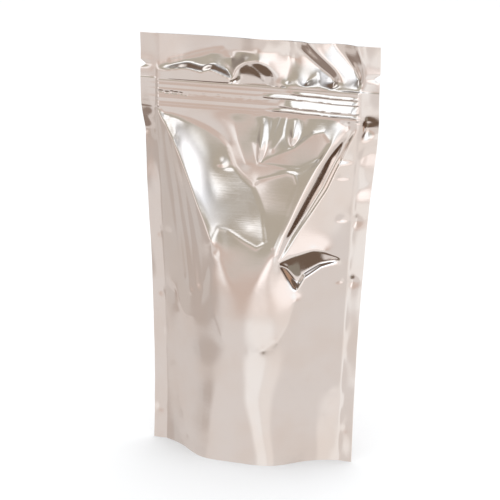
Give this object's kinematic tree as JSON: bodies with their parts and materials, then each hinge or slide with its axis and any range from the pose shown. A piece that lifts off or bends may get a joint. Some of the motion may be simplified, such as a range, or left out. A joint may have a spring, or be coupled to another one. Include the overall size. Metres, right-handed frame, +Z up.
{
  "type": "metallised stand-up zip pouch",
  "caption": "Shut stand-up pouch of shiny metallised film with side seals, tear notches, a press-to-close zip under an open header and an opened base gusset.",
  "frame": {"origin": "middle of the pouch's bounding box, on the surface it stands on", "axes": "+Z up from the standing rim to the top lips, X across the flat width, -Y is the front face"},
  "size_m": [0.13, 0.0462, 0.225],
  "materials": {
    "metallised_film": "bright warm silver metallised film, near mirror gloss, fine horizontal draw lines, soft creases and crushed welds",
    "zip_plastic": "milky translucent zip profile, smooth"
  },
  "bodies": {
    "root": {"pouch": "metallised_film", "zip_strip": "zip_plastic"}
  },
  "joints": []
}
